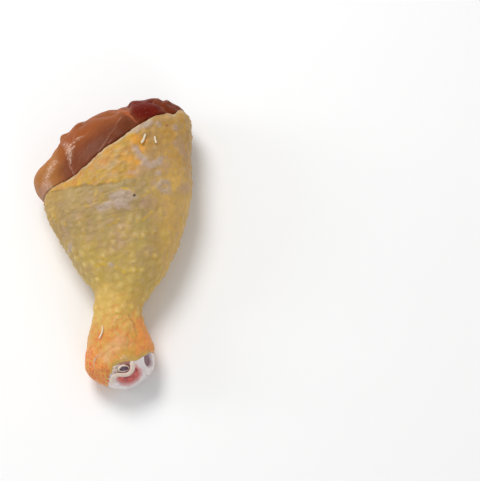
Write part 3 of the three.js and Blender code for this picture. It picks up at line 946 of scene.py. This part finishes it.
def skin_piece():
    angles = even_turns(COLUMNS)
    knee, ankle = rim(KNEE_RIM, KNEE_TURNS, angles), rim(ANKLE_RIM, ANKLE_TURNS, angles)
    knee_edge, ankle_edge = outer_point(knee, angles), outer_point(ankle, angles)
    knee = knee + 0.5 * noise(knee_edge, 5, 61) + 0.4 * noise(knee_edge, 1.9, 62)
    ankle = ankle - 0.35 * noise(ankle_edge, 4, 63) - 0.2 * noise(ankle_edge, 1.5, 64)

    t = np.linspace(0, 1, SKIN_ROWS)
    shares = (0.25 * (1 - np.cos(np.pi * t)) + 0.5 * t)[:, None]    # closer rows at both edges
    stations = ankle + (knee - ankle) * shares
    points = outer_point(stations, angles)
    x, _, z = split(points)
    field = skin_fields(points, stations, angles)
    dots = dot_shapes(points, nearest_cells(shaken(points, 0.35, 3.0, 25), follicles()[0]))
    to_knee, to_ankle = knee - stations, stations - ankle
    at_lip = 1 - 0.7 * blob(to_knee, 1.6) - 0.4 * blob(to_ankle, 1.2)
    relief = skin_relief(points, field, dots) * at_lip
    thinning = 0.85 * blob(to_knee, 2.0) + 0.35 * blob(to_ankle, 1.2)
    outer = inside_point(stations, angles, thinning - relief)
    shown = smooth(12, 20, z) * (0.2 + 0.8 * smooth(-26, -18, x))
    lip = blob(to_knee, 1.0) * patchy(-0.5, 0.5, points, 4.0, 69) * shown
    lip = np.maximum(lip, 0.3 * blob(to_ankle, 0.5))
    flap = 0.8 * blob(to_ankle, 1.9) * smooth(16, 19, z)

    knee_lip = turned_edge(knee, angles, 0.45, 0.85 - relief[-1])
    ankle_lip = turned_edge(ankle, angles, -0.4, 0.35 - relief[0])[::-1]
    back = np.linspace(1, 0, INNER_ROWS)[:, None]
    inner = inside_point(ankle + (knee - ankle) * back, angles, SKIN_THICKNESS)
    rings = np.concatenate([outer, knee_lip, inner, ankle_lip])
    rings[..., 2] = np.maximum(rings[..., 2], 0)
    tones = np.broadcast_to(LIP_PALE, rings.shape).copy()
    tones[:SKIN_ROWS] = skin_tones(points, stations, field, dots, lip, flap)
    scaly = np.zeros(rings.shape[:-1])
    scaly[:SKIN_ROWS] = field.scales
    faces = ring_faces(len(rings), COLUMNS, True)
    sleeve = piece("skin_sleeve", rings.reshape(-1, 3), faces, skin_material(), ("skin",),
                   tones.reshape(-1, 3))
    mask = sleeve.data.attributes.new("scaly", "FLOAT", "POINT")
    mask.data.foreach_set("value", scaly.astype(np.float32).ravel())


# Lines on the bare meat, in plan.
FASCIA_LINE = [(4.1, 49.2), (1.3, 43.8), (-1.8, 37.9), (-4.4, 33.2), (-6.3, 29.1)]
LOBE_LINE = [(-15.8, 43.5), (-17.7, 34.2), (-17.9, 28.5), (-16.5, 24.7), (-15.1, 21.9)]
DARK_LINE = [(16.5, 60.9), (20.0, 59.0), (22.6, 55.4), (26.0, 52.6)]
FAT_LINE = [(3.4, 56.6), (4.8, 54.2), (7.0, 51.4), (9.0, 49.0), (10.7, 46.8)]
PURPLE_LINE = [(5.0, 58.0), (14.0, 56.0)]
DARKEST_LINE = [(8.0, 56.0), (14.5, 53.6)]
GLINT_LINES = [       # line through a painted highlight of broken wet glints, and its half width
    ([(-24.0, 29.6), (-26.2, 27.0), (-27.6, 24.2), (-28.0, 21.6), (-26.8, 19.2)], 1.2),
    ([(-19.8, 38.4), (-18.2, 35.2), (-17.4, 31.4)], 1.2),
    ([(-18.6, 36.6), (-15.4, 38.4), (-12.3, 40.4)], 0.5),
    ([(-18.0, 33.6), (-15.6, 35.6)], 0.55),
    ([(-17.4, 30.4), (-17.0, 26.6), (-15.6, 23.6)], 0.2),
]


def painted_glints(points):
    """Painted highlight: the broken white glints on the wet meat, from 0 to 1."""
    wavering = shaken(points, 0.8, 2.0, 84)
    near_glint = np.max([blob(off_line(wavering, line), width) for line, width in GLINT_LINES], axis=0)
    threads = blob(streaky(points, FIBRES, 2.0, 0.7, 82), 0.22) + 0.6 * patchy(0.15, 0.6, points, 0.7, 85)
    return np.clip(near_glint * threads, 0, 1) * smooth(14, 22, points[..., 2])


def fat_share(points):
    """The wedge of fat in the notch between the pale and the dark muscle, wide at its upper end."""
    wavering = shaken(points, 0.4, 2.5, 78)
    width = np.interp(points[..., 1], [46.5, 51.0, 56.0], [0.15, 0.6, 2.0])
    return smooth(1.3, 0.6, off_line(wavering, FAT_LINE) / width) * smooth(20, 26, points[..., 2])


def knee_face(points):
    """Places on the knee's end, across and up and wavering, and how much a point is on it."""
    _, y, z = split(points)
    return shaken(points, 1.2, 6, 76)[..., [0, 2]], smooth(40, 50, y) * smooth(34, 30, z)


def meat_depth(points, past):
    """Depth of the meat under the outer form; past is how far it lies beyond the skin's edge."""
    _, y, z = split(points)
    relief = np.zeros(points.shape[:-1])
    for start, end, depth, spread in MEAT_FURROWS:
        relief = np.maximum(relief, depth * blob(off_line(points, [start, end]), spread))
    relief *= smooth(17, 27, z)
    face, on_face = knee_face(points)
    for line, depth, spread in FACE_FURROWS:
        relief += depth * blob(off_line(face, line), spread) * on_face
    on_end = smooth(30, 42, y) * blob(z - 24, 9)
    for at, spread, height in BUNDLES:
        relief -= height * blob(face[..., 0] - at, spread) * on_end
    wavering = shaken(points, 1.0, 7, 77)
    for place, height, spread in MEAT_SWELLINGS:
        relief -= height * blob(off_point(wavering, place), spread)
    relief -= 0.5 * noise(points, 11, 71) + 0.2 * noise(points, 4.5, 73)
    relief -= 0.09 * streaky(points, FIBRES, 6.0, 1.4, 72) + 0.03 * streaky(points, FIBRES, 2.4, 0.6, 74)
    top = smooth(20, 26, z)
    relief -= 0.07 * top * blob(off_line(shaken(points, 0.4, 3, 75), FASCIA_LINE), 0.3)
    relief += 0.2 * top * blob(off_line(points, LOBE_LINE), 1.1)
    # The meat stands a little raised under the painted glints and along the fat.
    relief -= 0.12 * painted_glints(points) + 0.35 * fat_share(points)
    relief *= smooth(0.2, 3.5, z)
    under = MEAT_EDGE_DEPTH + (SLEEVE_DEPTH - MEAT_EDGE_DEPTH) * smooth(-1, -6, past)
    out = 0.75 * smooth(-0.3, 1.6, past) + 0.25 * smooth(1.0, 8.6, past)
    return under + (relief - under) * out


def dark_muscle(points):
    """Tone of the dark muscle right of the notch, and how much a point is on it."""
    x, y, z = split(points)
    share = smooth(4.5, 9.5, x - 0.35 * (55 - y) + noise(points, 7, 89)) * smooth(36, 46, y)
    share = share * (0.45 + 0.55 * smooth(4, 20, z + 3 * noise(points, 9, 90)))
    beyond = smooth(0.2, 1.8, y - np.interp(x, (17.0, 26.0), (61.0, 52.6)))
    tone = layered(
        MEAT_RUST,
        (MEAT_PURPLE, smooth(9.0, 5.0, off_line(points, PURPLE_LINE))),
        (MEAT_DARK, 0.9 * blob(off_line(points, DARKEST_LINE), 3.2) * smooth(24, 30, z)),
        (MEAT_RUST, beyond * smooth(15, 19, x + 2 * noise(points, 6, 70))),
    )
    return tone, share


def meat_tones(points, past):
    x, y, z = split(points)
    top = smooth(14, 24, z)
    # Painted shade: the meat darker under the skin's edge, more so to the right.
    shade = smooth(13, 1.5, past + 2.5 * noise(points, 7, 81)) * top * (0.1 + 0.9 * smooth(-13, 6, x))
    back = smooth(40, 50, y)
    lobe = x + 0.14 * (y - 34) + (1 + 3 * back) * noise(points, 5, 87)
    deep, dark = dark_muscle(points)
    veil = smooth(0.1, 0.8, streaky(points, FIBRES, 9, 4, 100)) * smooth(24, 14, z + 0.5 * (55 - y))
    threads = 0.08 + 0.08 * smooth(-0.2, 0.6, streaky(points, FIBRES, 4, 1.2, 101))
    face, on_face = knee_face(points)
    off_seams = np.min([off_line(face, line) for line, _, _ in FACE_FURROWS], axis=0)
    seam = blob(off_seams, 0.4) * on_face * (0.6 + 0.6 * noise(points, 3, 105))
    wavering = shaken(points, 0.5, 3, 75)
    lines = np.max([strength * blob(off_line(wavering, line), width) for line, strength, width in (
        (FASCIA_LINE, 1, 0.26), (LOBE_LINE, 0.6, 0.3), (DARK_LINE, 0.5, 0.3))], axis=0)
    fibres = streaky(points, FIBRES, 5.0, 0.9, 83)
    tone = layered(
        MEAT_BRIGHT,
        (MEAT_SHADE, shade),
        # Lighter away from the skin's edge: partly the meat's own tone, partly painted light.
        (MEAT_RIDGE, 0.9 * smooth(8, 17, past + 2 * noise(points, 6, 86))),
        (MEAT_LOBE, 0.9 * smooth(-19.5 + 9 * back, -27.0 - 3 * back, lobe)),
        (deep, 0.95 * dark),
        (FASCIA, veil * threads),
        # Painted shade along the furrows on the knee's end.
        (MEAT_SHADE, 0.35 * blob(off_seams, 1.6) * on_face),
        (FASCIA, 0.26 * seam),
        (FAT_ORANGE, 0.8 * fat_share(points)),
        (FASCIA, 0.45 * lines * top * (0.6 + 0.6 * noise(points, 3, 102))),
        # Painted highlight: pale broken glints on the wet meat.
        (PAINTED_GLINT, 0.65 * painted_glints(points)),
        # Paler and pinker at the lobe's lower left end: partly a pale film, partly painted highlight.
        (FASCIA, 0.55 * smooth(25, 18, y + 1.5 * noise(points, 4, 104)) * smooth(-22, -29, x)),
        (FASCIA, 0.08 * smooth(0.3, 0.9, fibres)),
    )
    return tone * (1 + 0.04 * fibres + 0.06 * noise(points, 4, 88))[..., None]


def meat_piece():
    angles = even_turns(MEAT_COLUMNS)
    edge = around(KNEE_RIM, angles)
    hidden = edge + np.linspace(-12, -1.5, MEAT_HIDDEN_ROWS)[:, None]
    stations = np.concatenate([hidden, rows_towards_tip(edge - 1.0, KNEE_TIP, MEAT_ROWS)])
    points, past = outer_point(stations, angles), stations - edge
    rings = inside_point(stations, angles, meat_depth(points, past))
    rings[..., 2] = np.maximum(rings[..., 2], 0)
    body, faces = closed_body(rings)
    tones = with_ends(meat_tones(points, past), MEAT_SHADE, MEAT_BRIGHT)
    piece("bare_meat", body, faces, meat_material(), ("meat",), tones)


# The cut ankle. Its marks are plan positions on its upper side, or places in space where they have a height.
HOLLOW = (8.8, -60.1, 18.6)
HOLLOW_RADIUS = 5.4
HOLE = (6.9, -57.7)
STRAP = [
    (10.3, -53.4), (10.4, -55.0), (10.5, -56.8), (10.0, -58.3), (8.7, -59.4), (6.8, -59.8),
    (4.9, -59.8), (3.4, -60.1), (2.3, -60.9), (1.7, -61.8), (1.3, -62.5),
]
RIDGE = [(13.4, -49.5), (14.6, -52.2), (15.6, -54.6), (16.2, -56.8)]
RECESS = (17.4, -52.8, 17.2)
KNUCKLE_SIDE = (16.6, -58.6, 9.0)
BROWN_TISSUE = [(5.4, -55.8), (9.0, -55.2)]
GREY_TISSUE = [(1.6, -57.8), (4.2, -58.0)]


def hollow_share(points):
    """Distance from the hollow's middle, as a share of its radius."""
    return off_point(shaken(points, 0.3, 2.0, 96), HOLLOW) / HOLLOW_RADIUS


def on_ridge(points):
    return blob(off_line(points, RIDGE), 1.0) * smooth(8, 13, points[..., 2])


def knuckle_depth(points, past):
    hollow = hollow_share(points)
    depth = 0.35 + 1.7 * smooth(1.04, 0.66, hollow) - 0.3 * blob(hollow - 1.15, 0.12)
    depth += 1.7 * smooth(3.6, 1.9, off_point(points, RECESS)) - 0.5 * on_ridge(points)
    depth += 1.1 * blob(off_point(points, KNUCKLE_SIDE), 5.5)
    depth -= 0.14 * noise(points, 3.5, 91) + 0.05 * noise(points, 1.0, 92)
    under = KNUCKLE_EDGE_DEPTH + (SLEEVE_DEPTH - KNUCKLE_EDGE_DEPTH) * smooth(-1, -4, past)
    return under + (depth - KNUCKLE_EDGE_DEPTH) * smooth(-0.15, 0.5, past)


def knuckle_tones(points):
    hollow = hollow_share(points)
    recess = off_point(shaken(points, 0.4, 2.0, 97), RECESS)
    tissue = mix(TISSUE_GREY, TENDON_PALE, 0.5 + 0.8 * streaky(points, 40, 2.0, 0.5, 98))
    return layered(
        CARTILAGE,
        (CARTILAGE_LILAC, 0.4 + 0.9 * noise(points, 4, 93)),
        (BONE_PINK, 0.8 * smooth(1.3, 0.95, hollow + 0.1 * noise(points, 2, 94))),
        (MARROW_RED, 0.8 * smooth(1.0, 0.8, hollow)),
        (CARTILAGE, 0.9 * on_ridge(points)),
        (RECESS_PURPLE, 0.9 * smooth(3.7, 2.2, recess)),
        (TISSUE_BROWN, 0.85 * smooth(1.7, 0.8, off_line(points, BROWN_TISSUE))),
        (tissue, 0.85 * smooth(2.4, 1.2, off_line(points, GREY_TISSUE))),
        (BONE_PINK, 0.25 * patchy(0.3, 0.8, points, 2.0, 95)),
    )


def knuckle_piece():
    angles = even_turns(KNUCKLE_COLUMNS)
    edge = around(ANKLE_RIM, angles)
    hidden = edge + np.linspace(8, 1.2, KNUCKLE_HIDDEN_ROWS)[:, None]
    stations = np.concatenate([hidden, rows_towards_tip(edge + 0.8, ANKLE_TIP, KNUCKLE_ROWS)])[::-1]
    points = outer_point(stations, angles)
    rings = inside_point(stations, angles, knuckle_depth(points, edge - stations))
    rings[..., 2] = np.maximum(rings[..., 2], 0)
    body, faces = closed_body(rings)
    tones = with_ends(knuckle_tones(points), CARTILAGE, CARTILAGE)
    piece("knuckle", body, faces, cartilage_material(), ("bone",), tones)


def outer_tree():
    """The outer form, with closer rows at the ankle end, to set small pieces on."""
    near_tip = ANKLE_TIP + 0.02 + 14 * np.linspace(0, 1, 60) ** 2
    stations = np.concatenate([near_tip, np.linspace(-49, 60, 160)])[:, None]
    body, faces = closed_body(outer_point(stations, even_turns(240)))
    return BVHTree.FromPolygons(body.tolist(), faces)


def on_form(tree, plan):
    """The point of the outer form's upper side over a plan position, and the outward direction there."""
    place, normal, _, _ = tree.ray_cast(Vector((plan[0], plan[1], 60)), Vector((0, 0, -1)))
    return np.array(place), np.array(normal)


def spline(points, count):
    """Points of a smooth line through the given points, at even steps."""
    points = np.array(points)
    padded = np.concatenate([2 * points[:1] - points[1:2], points, 2 * points[-1:] - points[-2:-1]])
    line = []
    for i in range(len(points) - 1):
        a, b, c, d = padded[i:i + 4]
        for t in np.linspace(0, 1, 24, endpoint=False):
            line.append(b + 0.5 * t * (c - a + t * (2 * a - 5 * b + 4 * c - d + t * (3 * (b - c) + d - a))))
    line = np.array(line + [points[-1]])
    run = run_along(line)
    steps = np.linspace(0, run[-1], count)
    return np.stack([np.interp(steps, run, line[:, axis]) for axis in range(3)], -1)


def laid_line(tree, plan, count):
    """A smooth line on the outer form over plan positions, its outward directions and shares."""
    places, normals = zip(*(on_form(tree, place) for place in plan))
    return spline(places, count), spline(normals, count), np.linspace(0, 1, count)


def level_axes(up):
    """Two directions square to up: one across the leg, one along it."""
    across = np.cross((0, 1, 0), up)
    across /= np.linalg.norm(across)
    return across, np.cross(up, across)


def tube(line, ups, widths, heights, sides):
    """Rings of an oval tube along a line, wide across and high along ups."""
    along = np.gradient(line, axis=0)
    along /= np.linalg.norm(along, axis=1, keepdims=True)
    across = np.cross(along, ups)
    across /= np.linalg.norm(across, axis=1, keepdims=True)
    ups = np.cross(across, along)
    turn = -even_turns(sides)
    return (line[:, None] + across[:, None] * (np.cos(turn)[:, None] * widths[:, None, None])
            + ups[:, None] * (np.sin(turn)[:, None] * heights[:, None, None]))


STRAP_STEPS = 110
STRAP_SIDES = 40


def strap_piece(tree):
    """The tendon that crosses the cut bone, flat and with fine lengthwise strands."""
    line, ups, share = laid_line(tree, STRAP, STRAP_STEPS)
    ends = np.sqrt(np.clip(1 - np.abs(2 * share - 1) ** 14, 0.02, 1))
    widths = (0.86 + 0.28 * smooth(0.45, 0.1, share) + 0.16 * smooth(0.65, 0.9, share)) * ends
    sink = 1.5 * smooth(0.14, 0.0, share) + 0.3 * smooth(0.9, 1.0, share)
    line = line + ups * (0.1 - sink)[:, None]
    rings = tube(line, ups, widths, 0.5 * ends, STRAP_SIDES)
    strands = np.cos(8 * even_turns(STRAP_SIDES) + 1.5 * np.sin(7 * share)[:, None])
    middles = line[:, None]
    rings = middles + (rings - middles) * (1 + 0.05 * strands)[..., None]
    body, faces = closed_body(rings)
    # Paler on the strands' crests and darker in the grooves between them, painted highlight and shade; it
    # also varies at random.
    tones = mix(TENDON_PALE, TENDON_SHADE, 0.45 - 0.4 * strands + 0.4 * noise(rings, 1.2, 101))
    tones = with_ends(tones, TENDON_PALE, TENDON_PALE)
    material = tendon_material()
    piece("tendon_strap", body, faces, material, ("tendon",), tones)
    return material


DISH_START = 0.03       # share of a dish's radius where its first ring lies


def dish(tree, plan, radii, depth_at, rings, sides):
    """Rings of points in polar steps round a place, depth_at(share of the radius) under the form."""
    place, up = on_form(tree, plan)
    across, along = level_axes(up)
    made = []
    for share in np.linspace(DISH_START, 1, rings):
        ring = []
        for turn in even_turns(sides):
            reach = across * (radii[0] * math.cos(turn)) + along * (radii[1] * math.sin(turn))
            hit = tree.ray_cast(Vector(place + share * reach + up * 9), Vector(-up))[0]
            ring.append(np.array(hit) - up * depth_at(share))
        made.append(ring)
    return np.array(made), up


CORE_RADII = (5.3, 5.3)
CORE_RINGS = 40
CORE_SIDES = 96
CORE_THICKNESS = 0.8


def core_depth(share):
    return 1.5 + 0.55 * share ** 6


def core_piece(tree):
    """The red spongy core in the hollow."""
    rings, up = dish(tree, HOLLOW[:2], CORE_RADII, core_depth, CORE_RINGS, CORE_SIDES)
    lumps = 0.22 * noise(rings, 1.1, 111) + 0.12 * noise(rings, 0.5, 112)
    rings = rings + up * lumps[..., None]
    under = rings[-1:] - up * CORE_THICKNESS
    points, faces = closed_body(np.concatenate([rings, under])[::-1])
    share = np.linspace(DISH_START, 1, CORE_RINGS)[:, None]
    tones = layered(
        MARROW_RED,
        (MARROW_DEEP, 0.55 + 0.9 * noise(rings, 1.6, 113)),
        (MARROW_PALE, 0.6 * patchy(0.25, 0.7, rings, 0.8, 114)),
        (BONE_PINK, smooth(0.8, 1.0, share + 0.1 * noise(rings, 1.5, 115))),
    )
    tones = with_ends(np.concatenate([tones, tones[-1:]])[::-1], MARROW_RED, MARROW_RED)
    material = marrow_material()
    piece("spongy_core", points, faces, material, ("marrow",), tones)
    return material


# Torn shreds of tendon beside the strap's end and left of the vessel, in plan.
SHREDS = [
    [(1.7, -61.4), (0.7, -61.2), (-0.3, -60.9)],
    [(1.4, -62.2), (0.4, -62.2), (-0.4, -62.0)],
    [(0.9, -57.5), (1.9, -57.8), (2.6, -58.6)],
    [(1.6, -57.0), (2.8, -57.1), (3.9, -56.8)],
    [(2.8, -59.2), (3.3, -58.4), (3.9, -57.9)],
]


VESSEL_RADII = (2.05, 1.42)
VESSEL_STEPS = 72
VESSEL_SIDES = 16
BOWL_RADII = (2.1, 1.45)
BOWL_RINGS = 14
BOWL_SIDES = 40
BOWL_GLINT = (6.5, -57.6)


def vessel_ring(tree, material):
    """The pale wavering ring of a cut vessel, beside the tendon."""
    place, up = on_form(tree, HOLE)
    across, along = level_axes(up)
    turns = even_turns(VESSEL_STEPS)[:, None]
    waver = 1 + 0.06 * np.sin(2 * turns + 0.7) + 0.05 * np.sin(3 * turns + 2.0)
    reach = across * (VESSEL_RADII[0] * np.cos(turns)) + along * (VESSEL_RADII[1] * np.sin(turns))
    circle = place + waver * reach
    sink = 0.45 + 0.5 * np.cos(turns + 0.6) - 0.3 * noise(circle, 1.6, 121)[:, None]
    circle = circle - up * sink
    away = circle - place
    away = away - up * (away @ up)[:, None]
    away /= np.linalg.norm(away, axis=1, keepdims=True)
    thick = 0.28 + 0.16 * np.sin(turns - 0.9) + 0.05 * np.sin(5 * turns)
    round_ring = even_turns(VESSEL_SIDES)[:, None]
    rings = circle[:, None] + (away * thick)[:, None] * np.cos(round_ring) + up * (0.5 * np.sin(round_ring))
    tones = mix(TENDON_PALE, TENDON_SHADE, 0.4 + 0.6 * noise(rings, 0.9, 122)).reshape(-1, 3)
    faces = ring_faces(VESSEL_STEPS, VESSEL_SIDES, True)
    piece("vessel_ring", rings.reshape(-1, 3), faces, material, (), tones)


def bowl_depth(share):
    return 0.95 - 0.35 * share ** 2


def vessel_hole(tree, material):
    """The dark hole in the ring, with a painted lilac highlight."""
    bowl, up = dish(tree, HOLE, BOWL_RADII, bowl_depth, BOWL_RINGS, BOWL_SIDES)
    under = bowl[-1:] - up * 0.5
    points, faces = closed_body(np.concatenate([bowl, under])[::-1])
    # Painted highlight: a lilac glint in the hole.
    glint = 0.7 * blob(off_point(points, BOWL_GLINT), 0.8) * patchy(-0.4, 0.4, points, 0.7, 123)
    piece("vessel_hole", points, faces, material, (), mix(VESSEL_DARK, HOLE_GLINT_LILAC, glint))


# Quill stubs: plan positions from the foot to the tip, how far the tip stands off the skin, and radius.
QUILLS = [
    ([(14.5, 40.6), (13.8, 37.9), (12.9, 35.9)], 1.0, 0.52),
    ([(18.5, 40.2), (18.6, 38.6), (18.9, 36.7)], 0.8, 0.42),
    ([(-2.4, -39.7), (-2.1, -42.3), (-3.1, -45.2)], 0.9, 0.36),
]
# Fine hairs at the edge of the ankle's skin, in plan.
HAIRS = [
    [(-3.4, -51.0), (-5.0, -53.6), (-5.6, -55.7), (-5.7, -56.8)],
    [(-2.4, -51.2), (-3.1, -52.4), (-3.7, -53.4)],
    [(-2.3, -56.1), (-2.7, -57.2), (-2.9, -58.1)],
    [(-4.4, -51.8), (-5.4, -53.4), (-5.9, -54.6)],
]
QUILL_STEPS = 30
QUILL_SIDES = 16
STRAND_STEPS = 24
STRAND_SIDES = 8


def quill_pieces(tree):
    material = quill_material()
    for number, (plan, rise, radius) in enumerate(QUILLS, 1):
        line, ups, share = laid_line(tree, plan, QUILL_STEPS)
        line = line + ups * (0.15 + rise * share ** 1.5)[:, None]
        size = radius * (0.75 + 0.35 * share) * np.sqrt(np.clip(1 - share ** 20, 0.1, 1))
        points, faces = closed_body(tube(line, ups, size, size * 0.9, QUILL_SIDES))
        tones = QUILL_WHITE * (1 + 0.08 * noise(points, 0.8, 131))[:, None]
        piece(f"quill_{number}", points, faces, material, (), tones)
    strands(tree, "fine_hairs", HAIRS, 0.1, 0.12, QUILL_WHITE, material, "skin")


def strands(tree, name, lines, radius, rise, tone, material, slot):
    """Fine tapering strands that lie along plan lines, all as one piece."""
    all_points, all_faces, start = [], [], 0
    for plan in lines:
        line, ups, share = laid_line(tree, plan, STRAND_STEPS)
        line = line + ups * (rise + 0.15 * noise(line, 1.2, 132))[:, None]
        size = radius * (0.35 + 0.65 * np.sin(np.pi * share) ** 0.5)
        points, faces = closed_body(tube(line, ups, size, size, STRAND_SIDES))
        all_points.append(points)
        all_faces += [tuple(start + v for v in face) for face in faces]
        start += len(points)
    points = np.concatenate(all_points)
    tones = tone * (1 + 0.1 * noise(points, 0.8, 133))[:, None]
    piece(name, points, all_faces, material, (), tones)


camera()
surroundings()
floor()
skin_piece()
meat_piece()
knuckle_piece()
form = outer_tree()
pale = strap_piece(form)
dark = core_piece(form)
vessel_ring(form, pale)
vessel_hole(form, dark)
strands(form, "tendon_shreds", SHREDS, 0.34, -0.5, TENDON_PALE, pale, "tendon")
quill_pieces(form)
